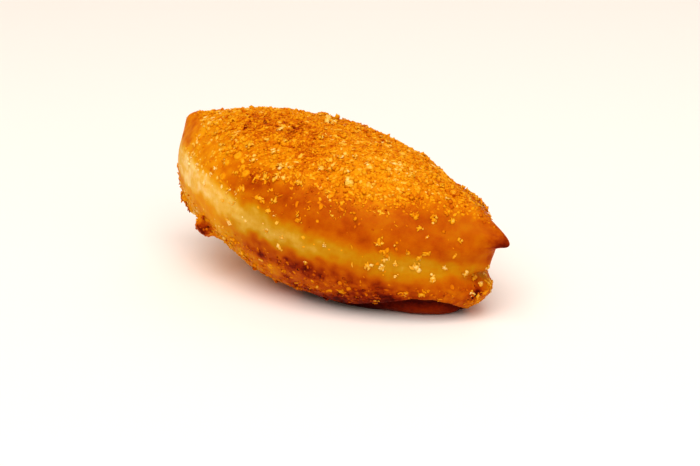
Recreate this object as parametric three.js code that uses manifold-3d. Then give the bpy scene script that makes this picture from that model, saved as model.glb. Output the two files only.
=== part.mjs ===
// Curry bread: a spindle of fried dough with a pinched nose, in a coat of breadcrumbs.
// Millimetres, +Z up, +X towards the nose. The origin is on the table, under the middle of the bun.
import * as THREE from "three";
import { mergeVertices } from "three/addons/utils/BufferGeometryUtils.js";
import Module from "manifold-3d";

const wasm = await Module();
wasm.setup();
const { clamp, degToRad, lerp, smoothstep } = THREE.MathUtils;

// The bare bun, measured from the middle of its waist, near the pale line where the frying oil stood
const HEEL_LENGTH = 57.5; // from the middle to each end
const NOSE_LENGTH = 58.6;
const BUN_WIDTH = 60;
const CROWN_RISE = 22.6;
const BELLY_DEPTH = 25.4;
const SECTION_POWER = 2.12; // 2 is an ellipse, more is squarer

// How the bun narrows to each end: 0.5 is an ellipse, more is pointed, less is blunt
const WAIST_TAPER = { heel: 0.74, nose: 0.725 };
const CROWN_TAPER = { heel: 0.48, nose: 0.605 };
const BELLY_TAPER = { heel: 0.41, nose: 0.465 };
const TAPER_BLEND = 0.4; // of the half length, to each side of the middle, from one taper to the other

// Each end is pinched to a nib above the waist. A nib has its own spread above and below its lift, and
// its zone is the stretch of the half length over which it grows in.
const HEEL_NIB = { lift: 11.9, radius: 3.2, above: 3.2, below: 3.2, reach: 5.2, zone: [0.6, 0.95] };
const NOSE_NIB = { lift: 10.9, radius: 3.1, above: 6, below: 2.6, reach: 10.6, zone: [0.44, 0.9] };

// Under its nib the nose is hollowed, and on the far side a notch parts it from the lip of the belly
const NOSE_HOLLOW = { lift: 0.2, above: 5.1, below: 5.1, depth: 3.9, zone: [0.5, 0.95] };
const NOSE_NOTCH = { lift: -3.4, above: 1.9, below: 2.4, depth: 4.2, zone: [0.63, 0.9] };
const NOTCH_SIDE = [-10, 0]; // from where across the bun to where the notch grows in

// A shallow dent behind the nose, on the far shoulder, and the low swell after it
const SHOULDER = [
  { along: 0.58, around: degToRad(52), height: -1.6, radius: 11 },
  { along: 0.71, around: degToRad(60), height: 1.8, radius: 10 },
];

// The bun lies with its nose down, on a spot that its weight has flattened
const LEAN = degToRad(8.9);
const SETTLED_DEPTH = 3;

// Where the breadcrumbs stick: not on the pale waist nor on the smooth ends
const BARE_WAIST = { above: 0.42, below: 0.3 }; // the sine of the angle from the waist
const BARE_END = 0.86; // of the half length
const BELLY_COVER = 0.75; // share of the spots under the waist that hold a crumb
const CRAG_HEIGHT = 0.6; // the most that the crumb coat itself stands up between the larger crumbs

// The larger crumbs
const CRUMB_SPOTS = 380;
const CRUMB_LENGTH = { smallest: 2.8, largest: 5 };
const CRUMB_WIDTH = 0.6; // of its length
const CRUMB_THICKNESS = 0.45; // of its length
const CRUMB_PROUD = 0.1; // of its length, from the crust up to its middle
const CRUMB_TILT = degToRad(28);
const CRUMB_RAGGED = 0.3; // how far a corner is pulled in, of its radius
const CRUMB_TABLE_GAP = 3; // a crumb's middle stays this far above the table
const CRUMB_SEED = 20240;

// The dark clump of crumbs that hangs under the heel
const CLUMP = { along: -0.54, around: degToRad(215), count: 4, crumb: 6, spread: 1.4, proud: 0.16 };

// How finely the bun is faceted
const STATIONS = 46;
const SIDES = 36;
const NOSE_CROWDING = 1.4; // 1 spreads the stations evenly, more crowds them at the nose

const GOLDEN_ANGLE = Math.PI * (3 - Math.sqrt(5));
const UP = new THREE.Vector3(0, 0, 1);

// A seeded source of numbers from 0 to 1
function seededRandom(seed) {
  let state = seed;
  return () => {
    state = (state + 0x6d2b79f5) | 0;
    let mixed = Math.imul(state ^ (state >>> 15), 1 | state);
    mixed = (mixed + Math.imul(mixed ^ (mixed >>> 7), 61 | mixed)) ^ mixed;
    return ((mixed ^ (mixed >>> 14)) >>> 0) / 4294967296;
  };
}

function signedPower(value, power) {
  return Math.sign(value) * Math.abs(value) ** power;
}

// How much of a nib or a hollow there is at a height: all of it at its lift, less above and below
function heightShare(form, z) {
  const away = z - form.lift;
  return Math.exp(-((away / (away > 0 ? form.above : form.below)) ** 2));
}

// How far a nib reaches out at a height and a distance to the side
function nibReach(nib, y, z) {
  return nib.reach * Math.sqrt(heightShare(nib, z)) * Math.exp(-(y ** 2) / (2 * nib.radius ** 2));
}

// The smooth crust of the level bun. along runs from -1 at the heel to 1 at the nose, and around is
// the angle about the length: 0 at the far side of the waist and a quarter turn at the top.
function smoothPoint(along, around) {
  const towardsNose = smoothstep(along, -TAPER_BLEND, TAPER_BLEND);
  const narrowing = Math.max(0, 1 - along * along);
  const size = (taper) => narrowing ** lerp(taper.heel, taper.nose, towardsNose);
  const across = signedPower(Math.cos(around), 2 / SECTION_POWER);
  const upward = signedPower(Math.sin(around), 2 / SECTION_POWER);
  const rise = upward > 0 ? CROWN_RISE * size(CROWN_TAPER) : BELLY_DEPTH * size(BELLY_TAPER);
  const y = (BUN_WIDTH / 2) * size(WAIST_TAPER) * across;
  const z = rise * upward;

  const heelNib = smoothstep(-along, ...HEEL_NIB.zone) * nibReach(HEEL_NIB, y, z);
  const noseNib = smoothstep(along, ...NOSE_NIB.zone) * nibReach(NOSE_NIB, y, z);
  const hollow = smoothstep(along, ...NOSE_HOLLOW.zone) * NOSE_HOLLOW.depth * heightShare(NOSE_HOLLOW, z);
  const notchZone = smoothstep(along, ...NOSE_NOTCH.zone) * smoothstep(y, ...NOTCH_SIDE);
  const notch = notchZone * NOSE_NOTCH.depth * heightShare(NOSE_NOTCH, z);
  const x = along * (along > 0 ? NOSE_LENGTH : HEEL_LENGTH);
  return new THREE.Vector3(x + noseNib - heelNib - hollow - notch, y, z);
}

// The outward direction of the crust at a place on it
function crustNormal(along, around) {
  const step = 0.01;
  const lengthwise = smoothPoint(along + step, around).sub(smoothPoint(along - step, around));
  const sideways = smoothPoint(along, around + step).sub(smoothPoint(along, around - step));
  return sideways.cross(lengthwise).normalize();
}

// The crust with its dent and swell
function crustPoint(along, around) {
  const place = smoothPoint(along, around);
  let height = 0;
  for (const form of SHOULDER) {
    const away = place.distanceTo(smoothPoint(form.along, form.around));
    height += form.height * Math.exp(-((away / form.radius) ** 2));
  }
  return place.addScaledVector(crustNormal(along, around), height);
}

// Turns a point of the level bun to how it lies
function leanOver(point) {
  return point.applyAxisAngle(new THREE.Vector3(0, 1, 0), LEAN);
}

// The share of the crumbs that stick at a place
function crumbCover(along, around) {
  const height = Math.sin(around);
  if (Math.abs(along) > BARE_END) return 0;
  if (height > BARE_WAIST.above) return 1;
  return height < -BARE_WAIST.below ? BELLY_COVER : 0;
}

// The corners of a shape, each shared by all the faces that meet there
function weld(geometry) {
  geometry.deleteAttribute("normal");
  geometry.deleteAttribute("uv");
  return mergeVertices(geometry);
}

// Where along the bun a station of the ball belongs
function stationAlong(ballX) {
  const share = Math.acos(clamp(ballX, -1, 1)) / Math.PI;
  return Math.cos(Math.PI * share ** NOSE_CROWDING);
}

// A ball whose poles lie on X, with each corner moved out to the crust and its crags
function makeCrust(random) {
  const crust = weld(new THREE.SphereGeometry(1, SIDES, STATIONS).rotateZ(-Math.PI / 2));
  const corners = crust.attributes.position;
  for (let i = 0; i < corners.count; i++) {
    const along = stationAlong(corners.getX(i));
    const around = Math.atan2(corners.getZ(i), corners.getY(i));
    const crag = CRAG_HEIGHT * crumbCover(along, around) * random();
    const moved = crustPoint(along, around);
    if (crag > 0) moved.addScaledVector(crustNormal(along, around), crag);
    corners.setXYZ(i, moved.x, moved.y, moved.z);
  }
  return crust;
}

// One ragged shard of breadcrumb about its own middle, flat across Z
function makeCrumb(length, random) {
  const crumb = weld(new THREE.IcosahedronGeometry(0.5, 0));
  const corners = crumb.attributes.position;
  for (let i = 0; i < corners.count; i++) {
    const pull = 1 - CRUMB_RAGGED * random();
    corners.setXYZ(i, corners.getX(i) * pull, corners.getY(i) * pull, corners.getZ(i) * pull);
  }
  return crumb.scale(length, length * CRUMB_WIDTH, length * CRUMB_THICKNESS);
}

// A crumb set on the crust, turned and tilted by chance. proud is a share of its length.
function crumbOnCrust(along, around, length, proud, random) {
  const normal = crustNormal(along, around);
  const turn = new THREE.Quaternion().setFromAxisAngle(UP, 2 * Math.PI * random());
  const tilt = CRUMB_TILT * (2 * random() - 1);
  const tip = new THREE.Quaternion().setFromAxisAngle(new THREE.Vector3(1, 0, 0), tilt);
  const upright = new THREE.Quaternion().setFromUnitVectors(UP, normal);
  const place = crustPoint(along, around).addScaledVector(normal, length * proud);
  const crumb = makeCrumb(length, random).applyQuaternion(upright.multiply(tip).multiply(turn));
  return crumb.translate(place.x, place.y, place.z);
}

// The crumbs of the coat, on spots that a golden spiral spreads evenly from end to end
function makeCoat(random, tableLevel) {
  const coat = [];
  for (let spot = 0; spot < CRUMB_SPOTS; spot++) {
    const along = 1 - (2 * (spot + 0.5)) / CRUMB_SPOTS;
    const around = spot * GOLDEN_ANGLE;
    if (random() > crumbCover(along, around)) continue;
    if (leanOver(crustPoint(along, around)).z < tableLevel + CRUMB_TABLE_GAP) continue;
    const length = lerp(CRUMB_LENGTH.smallest, CRUMB_LENGTH.largest, random() ** 2);
    coat.push(crumbOnCrust(along, around, length, CRUMB_PROUD, random));
  }
  return coat;
}

// The clump under the heel, a few large crumbs run together
function makeClump(random) {
  const clump = [];
  for (let i = 0; i < CLUMP.count; i++) {
    const sway = (2 * Math.PI * i) / CLUMP.count;
    const along = CLUMP.along + (CLUMP.spread * Math.cos(sway)) / HEEL_LENGTH;
    const around = CLUMP.around + (CLUMP.spread * Math.sin(sway)) / BELLY_DEPTH;
    clump.push(crumbOnCrust(along, around, CLUMP.crumb, CLUMP.proud, random));
  }
  return clump;
}

function toSolid(geometry) {
  return new wasm.Manifold(
    new wasm.Mesh({
      numProp: 3,
      vertProperties: geometry.attributes.position.array,
      triVerts: new Uint32Array(geometry.index.array),
    }),
  );
}

function toGeometry(solid) {
  const mesh = solid.getMesh();
  const geometry = new THREE.BufferGeometry();
  geometry.setAttribute("position", new THREE.BufferAttribute(mesh.vertProperties, 3));
  geometry.setIndex(new THREE.BufferAttribute(mesh.triVerts, 1));
  return geometry;
}

// The bun and its crumbs as one solid, leaning as it lies and flat where it rests
function makeBread() {
  const random = seededRandom(CRUMB_SEED);
  const crust = makeCrust(random);
  const leaning = crust.clone().rotateY(LEAN);
  leaning.computeBoundingBox();
  const tableLevel = leaning.boundingBox.min.z + SETTLED_DEPTH;

  let solid = toSolid(crust);
  const crumbs = [...makeCoat(random, tableLevel), ...makeClump(random)];
  for (const crumb of crumbs) solid = solid.add(toSolid(crumb));
  const lying = toGeometry(solid).rotateY(LEAN);

  const cutter = 2 * (HEEL_LENGTH + NOSE_LENGTH);
  const under = weld(new THREE.BoxGeometry(cutter, cutter, cutter));
  under.translate(0, 0, tableLevel - cutter / 2);
  const settled = toGeometry(toSolid(lying).subtract(toSolid(under)));

  settled.computeBoundingBox();
  const { min, max } = settled.boundingBox;
  settled.translate(-(min.x + max.x) / 2, -(min.y + max.y) / 2, -min.z);
  settled.computeVertexNormals();
  return settled;
}

const friedCrust = new THREE.MeshStandardMaterial({ color: 0xd9861c, roughness: 0.55, metalness: 0 });
const bread = new THREE.Mesh(makeBread(), friedCrust);
bread.name = "curry_bread";

const part = new THREE.Group();
part.add(bread);
export default part;
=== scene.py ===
import math

import bmesh
import bpy
import numpy as np
from mathutils import Matrix, Vector, noise


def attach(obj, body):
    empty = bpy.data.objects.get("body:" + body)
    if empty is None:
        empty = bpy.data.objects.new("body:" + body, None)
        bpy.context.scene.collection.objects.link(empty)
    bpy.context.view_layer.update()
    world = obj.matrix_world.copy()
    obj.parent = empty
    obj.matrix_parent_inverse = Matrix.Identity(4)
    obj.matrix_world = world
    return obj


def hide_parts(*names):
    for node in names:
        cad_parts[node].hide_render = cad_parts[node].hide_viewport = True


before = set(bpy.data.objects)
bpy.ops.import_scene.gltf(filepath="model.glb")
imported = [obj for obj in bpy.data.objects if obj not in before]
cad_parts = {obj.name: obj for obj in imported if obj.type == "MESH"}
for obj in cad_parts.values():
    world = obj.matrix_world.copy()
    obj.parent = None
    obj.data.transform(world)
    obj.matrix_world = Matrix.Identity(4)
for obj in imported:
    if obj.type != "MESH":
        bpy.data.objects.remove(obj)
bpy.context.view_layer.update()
breadNode = "curry_bread"
mm = 0.001  # forms are worked out in millimetres, meshes are in metres
dice = np.random.default_rng(71)  # one seeded source for every draw


# Small tools

def linear(hexText):
    channels = [int(hexText[i:i + 2], 16) / 255 for i in (1, 3, 5)]
    curve = [c / 12.92 if c <= 0.04045 else ((c + 0.055) / 1.055) ** 2.4 for c in channels]
    return (*curve, 1.0)


def smoothStep(values, low, high):
    share = np.clip((values - low) / (high - low), 0, 1)
    return share * share * (3 - 2 * share)


def signedPower(values, power):
    return np.sign(values) * np.abs(values) ** power


def unit(vectors):
    return vectors / np.maximum(np.linalg.norm(vectors, axis=-1, keepdims=True), 1e-9)


# Smooth chance over the bun, about -1 to 1, with lumps of the given size in mm
def lumps(points, size, start):
    offset = Vector((start, 2 * start, 3 * start))
    return np.array([noise.noise(Vector(p) / size + offset) for p in points])


# How far each point is from the middle of its grain, 0 to about 1, for grains of the given size in mm
def grains(points, size, start):
    offset = Vector((start, 2 * start, 3 * start))
    return np.array([noise.voronoi(Vector(p) / size + offset)[0][0] for p in points])


def addNode(tree, kind, values=None, links=None, **settings):
    node = tree.nodes.new(kind)
    for name, value in settings.items():
        setattr(node, name, value)
    for socket, value in (values or {}).items():
        node.inputs[socket].default_value = value
    for socket, source in (links or {}).items():
        tree.links.new(source, node.inputs[socket])
    return node


def setRamp(ramp, stops):
    while len(ramp.elements) < len(stops):
        ramp.elements.new(1.0)
    for element, (place, colour) in zip(ramp.elements, stops):
        element.position = place
        element.color = linear(colour)


def newMaterial(name):
    material = bpy.data.materials.new(name)
    material.use_nodes = True
    material.node_tree.nodes.clear()
    return material, material.node_tree


def newPiece(name, mesh, material):
    piece = bpy.data.objects.new(name, mesh)
    bpy.context.scene.collection.objects.link(piece)
    mesh.materials.append(material)
    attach(piece, "root")
    return piece


# Corners put in an order that is the same in every run
def settleOrder(bm):
    lookout = Vector((0.31, 0.57, 0.76))
    bm.verts.sort(key=lambda corner: corner.co.dot(lookout))
    bm.verts.index_update()


# Corners and faces of a form, each face from its lowest corner on
def readForm(bm):
    settleOrder(bm)
    points = np.array([corner.co for corner in bm.verts])
    loops = [[corner.index for corner in face.verts] for face in bm.faces]
    starts = [loop.index(min(loop)) for loop in loops]
    faces = sorted(loop[start:] + loop[:start] for loop, start in zip(loops, starts))
    bm.free()
    return points, faces


def setShare(mesh, name, values):
    share = mesh.attributes.new(name, "FLOAT", "POINT")
    share.data.foreach_set("value", np.asarray(values, dtype=np.float32))


# The bun: a spindle with a pinched nib at each end, lying nose down on a flattened spot

bun = {
    "noseLength": 58.6,  # from the middle to each end
    "heelLength": 57.5,
    "width": 60.0,
    "crownRise": 22.6,  # from the waist to the top
    "bellyDepth": 25.4,  # from the waist to the lowest point
    "sectionPower": 2.12,  # 2 is an ellipse, more is squarer
    "waistTaper": (0.74, 0.725),  # heel end, nose end: 0.5 is an ellipse, more is pointed
    "crownTaper": (0.48, 0.605),
    "bellyTaper": (0.41, 0.465),
    "taperBlend": 0.4,
    "heelNib": {"lift": 11.9, "radius": 3.2, "above": 3.2, "below": 3.2, "reach": 5.2, "zone": (0.6, 0.95)},
    "noseNib": {"lift": 10.9, "radius": 3.1, "above": 6.0, "below": 2.6, "reach": 10.1, "zone": (0.44, 0.9)},
    "noseHollow": {"lift": 0.2, "above": 5.1, "below": 5.1, "depth": 3.9, "zone": (0.5, 0.95)},
    "noseNotch": {"lift": -3.4, "above": 1.9, "below": 2.4, "depth": 4.2, "zone": (0.63, 0.9)},
    "noseHook": {"zone": (53.0, 60.5), "drop": 1.5, "above": 4.0},  # the tip of the nib turns down
    "notchSide": (-10.0, 0.0),  # the notch grows in across the bun, towards the far side
    # a shallow dent behind the nose, on the far shoulder, and the low swell after it
    "shoulder": (
        {"along": 0.58, "around": math.radians(52), "height": -1.6, "radius": 11.0},
        {"along": 0.71, "around": math.radians(60), "height": 1.8, "radius": 10.0},
    ),
    "lean": math.radians(8.9),
    "settledDepth": 2.7,
    "sides": 300,
    "stations": 320,
}


# How much of a nib or a hollow there is at a height: all of it at its lift, less above and below
def heightShare(form, z):
    away = z - form["lift"]
    return np.exp(-(away / np.where(away > 0, form["above"], form["below"])) ** 2)


# How far a nib reaches out at a height and a distance to the side
def nibReach(nib, y, z):
    return nib["reach"] * np.sqrt(heightShare(nib, z)) * np.exp(-0.5 * (y / nib["radius"]) ** 2)


# The level bun. along is -1 at the heel and 1 at the nose.
# around is 90 degrees at the top and 180 at the front.
def levelBun(along, around):
    towardsNose = smoothStep(along, -bun["taperBlend"], bun["taperBlend"])
    narrowing = np.maximum(0, 1 - along * along)

    def size(taper):
        return narrowing ** (taper[0] + (taper[1] - taper[0]) * towardsNose)

    across = signedPower(np.cos(around), 2 / bun["sectionPower"])
    upward = signedPower(np.sin(around), 2 / bun["sectionPower"])
    crown = bun["crownRise"] * size(bun["crownTaper"])
    belly = bun["bellyDepth"] * size(bun["bellyTaper"])
    y = bun["width"] / 2 * size(bun["waistTaper"]) * across
    z = np.where(upward > 0, crown, belly) * upward
    nose, heel, hollow, notch = (bun[name] for name in ("noseNib", "heelNib", "noseHollow", "noseNotch"))
    x = along * np.where(along > 0, bun["noseLength"], bun["heelLength"])
    x = x + smoothStep(along, *nose["zone"]) * nibReach(nose, y, z)
    x = x - smoothStep(-along, *heel["zone"]) * nibReach(heel, y, z)
    x = x - smoothStep(along, *hollow["zone"]) * hollow["depth"] * heightShare(hollow, z)
    notchZone = smoothStep(along, *notch["zone"]) * smoothStep(y, *bun["notchSide"])
    x = x - notchZone * notch["depth"] * heightShare(notch, z)
    hook = bun["noseHook"]
    start, tip = hook["zone"]
    hooked = np.where(z > hook["above"], np.clip((x - start) / (tip - start), 0, 1), 0)
    z = z - hook["drop"] * hooked ** 2
    return np.stack((x, y, z), axis=-1)


def leanOver(points):
    c, s = math.cos(bun["lean"]), math.sin(bun["lean"])
    x, y, z = points[..., 0], points[..., 1], points[..., 2]
    return np.stack((x * c + z * s, y, z * c - x * s), axis=-1)


def bunMiddle(points):
    low, high = points.min(axis=0), points.max(axis=0)
    return np.array([(low[0] + high[0]) / 2, 0, low[2] + bun["settledDepth"]])


def writePoints(mesh, points):
    mesh.vertices.foreach_set("co", points.astype(np.float32).ravel())
    mesh.update()


def readNormals(mesh):
    flat = np.empty(len(mesh.vertices) * 3, dtype=np.float32)
    mesh.vertex_normals.foreach_get("vector", flat)
    return flat.reshape(-1, 3).astype(float)


# Where on the crust things are, read along the bun from heel to nose. Edges are angles up from the waist in
# degrees. Tones say how browned the dough is, from 0 for pale to 1 for burnt.
zones = {
    "ends": (0.78, 0.92),  # along the bun, either way from the middle
    "endHeight": 0.55,  # height of the ends as a share of the middle's
    "stops": (-1.0, -0.85, -0.7, -0.6, -0.3, 0.0, 0.3, 0.5, 0.7, 0.85, 1.0),
    "paleTop": (26, 24, 20, 16, 12, 9, 8, 8, 10, 9, 8),
    "paleLow": (-16, -12, -9, -7, -6, -6, -6, -7, -14, -15, -14),
    "paleShare": (0.8, 1.0, 1.0, 1.0, 1.0, 0.95, 0.9, 0.8, 0.85, 0.8, 0.5),
    "matEdge": (96, 78, 52, 42, 33, 34, 38, 42, 72, 112, 120),
    "bandTone": (0.24, 0.14, 0.1, 0.1, 0.16, 0.22, 0.28, 0.34, 0.31, 0.31, 0.37),
    "sideTone": (0.56, 0.53, 0.49, 0.5, 0.57, 0.64, 0.68, 0.66, 0.64, 0.65, 0.68),
    "crownTone": (0.56, 0.52, 0.48, 0.49, 0.54, 0.56, 0.53, 0.52, 0.59, 0.65, 0.68),
    "bellyTone": (0.58, 0.48, 0.4, 0.37, 0.43, 0.64, 0.75, 0.79, 0.72, 0.65, 0.66),
    "ragged": ((9, 3.1, 4.0), (2.6, 7.7, 3.5)),  # lumps in mm, their start, degrees that they shift an edge
    "noseFade": {"zone": (0.3, 0.7), "degrees": 14},  # the mat and the band fade slowly towards the nose
    "lowSoft": (5, 4),  # degrees under and over an edge within which it fades
    "topSoft": (7, 7),
    "crownSoft": (9, 12),
    "belowSoft": (8, 0),
    "bellySoft": (15, -4),
    "bareEnds": (0.93, 0.99),
}

# The edge over the table where the crumbed belly stops, in mm up from the table, and the hollow below it
fold = {
    "stops": (0.02, 0.11, 0.24, 0.4, 0.52, 0.64, 0.71, 0.79, 0.84, 0.88),
    "edge": (0.0, 3.0, 2.2, 3.0, 4.4, 6.4, 7.4, 7.2, 5.8, 1.5),
    "nearSide": (255, 285),  # degrees around, where it ends
    "highest": -15,  # degrees up
    "lumps": (3, 5.1, 0.5),  # size in mm, start and height
    "depth": 1.9,
    "soft": 0.8,
    "returning": (0.35, 0.8),  # share of the way down over which the skin comes out again
    "returned": 0.85,
    "fullEdge": 6.0,  # the edge height in mm that has the full depth
    "leastDepth": 0.3,
    "thinning": {"zone": (-2.0, -0.5), "share": 0.6},  # crumbs get thin above the edge and stop at it
    "bare": (-0.3, 0.2),
    # painted shade in the hollow under the fold, over dark browned dough: darkest under the crease, paler
    # lower down where light from the table reaches it
    "dark": {"soft": 0.6, "tone": 1.0, "paler": 0.14, "zone": (2.5, 6)},
}


def patch(along, around, reach, browner, mottled):
    return {"along": along, "around": around, "reach": reach, "browner": browner, "mottled": mottled}


# Places of their own tone: along, degrees around, reach along and around, how much browner and how mottled
patches = {
    "crownToast": patch(-0.36, 105, (0.26, 14), 0.2, 1.0),
    "middleToast": patch(0.0, 119, (0.14, 7), 0.12, 1.0),
    "topGold": patch(0.25, 116, (0.3, 14), -0.05, 0.3),
    "sideScorch": patch(-0.14, 153, (0.09, 12), 0.09, 0.3),
    "middleSide": patch(0.12, 150, (0.16, 7), 0.1, 0.5),
    "lowSide": patch(0.38, 162, (0.14, 8), 0.03, 0.3),
    "bellyHeel": patch(-0.06, 200, (0.14, 7), 0.12, 0.5),
    "bellyScorch": patch(0.16, 199, (0.2, 6), 0.2, 0.6),
    "bellyGold": patch(-0.02, 213, (0.08, 6), -0.14, 0.5),
    "foldGold": patch(0.32, 214, (0.1, 6), -0.14, 0.5),
    "bellyNose": patch(0.55, 211, (0.16, 8), 0.06, 0.3),
    # painted light: the lip's top is painted paler where the notch above it shades it, over the golden flakes
    # it has
    "lipLitGold": patch(0.96, 318, (0.06, 30), -0.22, 0.3),
    "lipScorch": patch(0.945, 232, (0.04, 12), 0.3, 0.2),
}


def patchShare(plan, along, around):
    nearAlong = (along - plan["along"]) / plan["reach"][0]
    nearAround = (np.degrees(around) - plan["around"]) / plan["reach"][1]
    return np.exp(-nearAlong ** 2 - nearAround ** 2)


def alongZone(name, along):
    return np.interp(along, zones["stops"], zones[name])


# Degrees up from the waist. At the two ends, where all sides meet, this goes by the height in mm alone.
def angleUp(along, around, height):
    turned = np.degrees(np.arcsin(np.clip(np.sin(around), -1, 1)))
    endHeight = zones["endHeight"] * np.where(height > 0, bun["crownRise"], bun["bellyDepth"])
    raised = np.degrees(np.arcsin(np.clip(height / endHeight, -1, 1)))
    atEnd = smoothStep(np.abs(along), *zones["ends"])
    return turned * (1 - atEnd) + raised * atEnd


# How far under the fold each point is in mm, and how much of the hollow it has
def foldZones(along, around, up, points):
    edge = np.interp(along, fold["stops"], fold["edge"], left=0, right=0)
    edge = edge * (1 - smoothStep(np.degrees(around), *fold["nearSide"]))
    size, start, tall = fold["lumps"]
    under = edge + tall * lumps(points, size, start) - points[:, 2]
    under = np.where(up < fold["highest"], under, -1)
    returning = smoothStep(under / np.maximum(edge, 0.1), *fold["returning"])
    share = smoothStep(under, 0, fold["soft"]) * (1 - fold["returned"] * returning)
    return under, share * np.clip(edge / fold["fullEdge"], fold["leastDepth"], 1)


def crustZones(along, around, height, points):
    up = angleUp(along, around, height)
    around = np.mod(around, 2 * math.pi)
    ragged = up
    for size, start, shift in zones["ragged"]:
        ragged = ragged + shift * lumps(points, size, start)
    top, low, matEdge = (alongZone(name, along) for name in ("paleTop", "paleLow", "matEdge"))
    fading = zones["noseFade"]["degrees"] * smoothStep(along, *zones["noseFade"]["zone"])

    def over(edge, soft, fading=0):
        under, above = zones[soft]
        return smoothStep(ragged, edge - under - fading, edge + above + fading)

    pale = over(low, "lowSoft", fading / 3) * (1 - over(top, "topSoft")) * alongZone("paleShare", along)
    crown = over(matEdge, "crownSoft", fading)
    below = 1 - over(low, "belowSoft")
    belly = (1 - over(low, "bellySoft")) * (1 - smoothStep(np.abs(along), *zones["bareEnds"]))
    underFold, foldShare = foldZones(along, around, up, points)
    belly = belly * (1 - fold["thinning"]["share"] * smoothStep(underFold, *fold["thinning"]["zone"]))
    belly = belly * (1 - smoothStep(underFold, *fold["bare"]))
    toasts = ("crownToast", "middleToast")
    toast = sum(patchShare(patches[name], along, around) for name in toasts)
    return {"along": along, "around": around, "up": up, "pale": pale, "crown": crown, "belly": belly,
            "below": below, "underFold": underFold, "foldShare": foldShare, "toast": np.clip(toast, 0, 1)}


# Burnt spots: along, degrees around, radius in mm and how much browner
scorch = [
    (-0.21, 123, 1.1, 0.3), (-0.2, 102, 1.0, 0.3), (-0.28, 102, 0.9, 0.26), (-0.52, 98, 0.9, 0.2),
    (-0.4, 102, 1.4, 0.24), (-0.1, 119, 0.6, 0.24), (-0.03, 113, 0.6, 0.26), (0.06, 107, 0.7, 0.24),
    (-0.09, 101, 0.6, 0.22), (0.0, 90, 0.9, 0.2), (-0.07, 106, 1.3, 0.18), (-0.45, 116, 0.9, 0.24),
    (-0.17, 215, 0.9, 0.28), (0.23, 218, 0.8, 0.18), (0.1, 194, 0.9, 0.16), (0.07, 212, 1.0, 0.24),
    (0.21, 197, 1.7, 0.08), (0.29, 200, 0.8, 0.12), (0.37, 202, 0.8, 0.14), (-0.07, 203, 0.9, 0.16),
    (0.28, 187, 0.8, 0.18), (0.95, 230, 2.2, 0.16), (0.87, 96, 2.8, 0.24), (0.89, 101, 2.2, 0.24),
]
scorchEdge = {"size": 0.8, "start": 2.9, "ragged": 0.6}

# Spots are mirrored to the far side with small shifts, apart from those near the top
mirroring = {"along": 0.06, "around": 6, "top": 90, "topReach": 12}
mmPerAlong = 55  # about how far apart spots are on the crust
mmPerDegree = 0.4


def nearestCorner(zone, along, around):
    turn = np.abs(np.degrees(zone["around"]) - around % 360)
    away = ((zone["along"] - along) * mmPerAlong) ** 2 + (np.minimum(turn, 360 - turn) * mmPerDegree) ** 2
    return np.argmin(away)


# How far each point is in mm from the corner nearest to a spot
def awayFrom(points, zone, along, around):
    return np.linalg.norm(points - points[nearestCorner(zone, along, around)], axis=1)


def bothSides(spots):
    along, around = mirroring["along"], mirroring["around"]
    mirrored = [spot for spot in spots if abs(spot[1] - mirroring["top"]) > mirroring["topReach"]]
    return spots + [
        (spot[0] + dice.uniform(-along, along), 180 - spot[1] + dice.uniform(-around, around), *spot[2:])
        for spot in mirrored]


def scorching(zone, points):
    browner = np.zeros(len(points))
    ragged = 1 + scorchEdge["ragged"] * lumps(points, scorchEdge["size"], scorchEdge["start"])
    for along, around, radius, depth in bothSides(scorch):
        away = awayFrom(points, zone, along, around) * ragged
        browner = np.maximum(browner, depth * np.exp(-(away / radius) ** 2))
    return browner


# How tones wander. Each lump is its size in mm, its start and how much browner it gets.
wander = {
    "skin": ((9, 1.3, 0.07), (4, 5.9, 0.1), (1.9, 3.7, 0.07)),
    "belly": (0.03, 0.03, 0.05),  # added to the skin's below the waist
    "heelSide": {"lump": (2.4, 11.3, 0.14), "up": (8, 18), "along": (-0.1, 0.3)},
    "blotch": {"lump": (3.2, 2.2, 1.2), "start": 0.75},
    "band": ((3.0, 4.9, 0.09), (1.2, 8.1, 0.06)),
    "streaks": {"lump": (1.7, 9.3, 0.05), "stretch": (14, 0.5, 0.05)},  # lengthwise, where the oil lapped
    # painted shade: the belly is darker where it faces down into the shade under the overhang, from the
    # middle towards the nose
    "undersideShade": {"browner": 0.14, "down": (24, 44), "along": 0.38, "reach": 0.42, "soft": 0.2},
}


def wandering(points, lump):
    size, start, browner = lump
    return browner * lumps(points, size, start)


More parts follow.
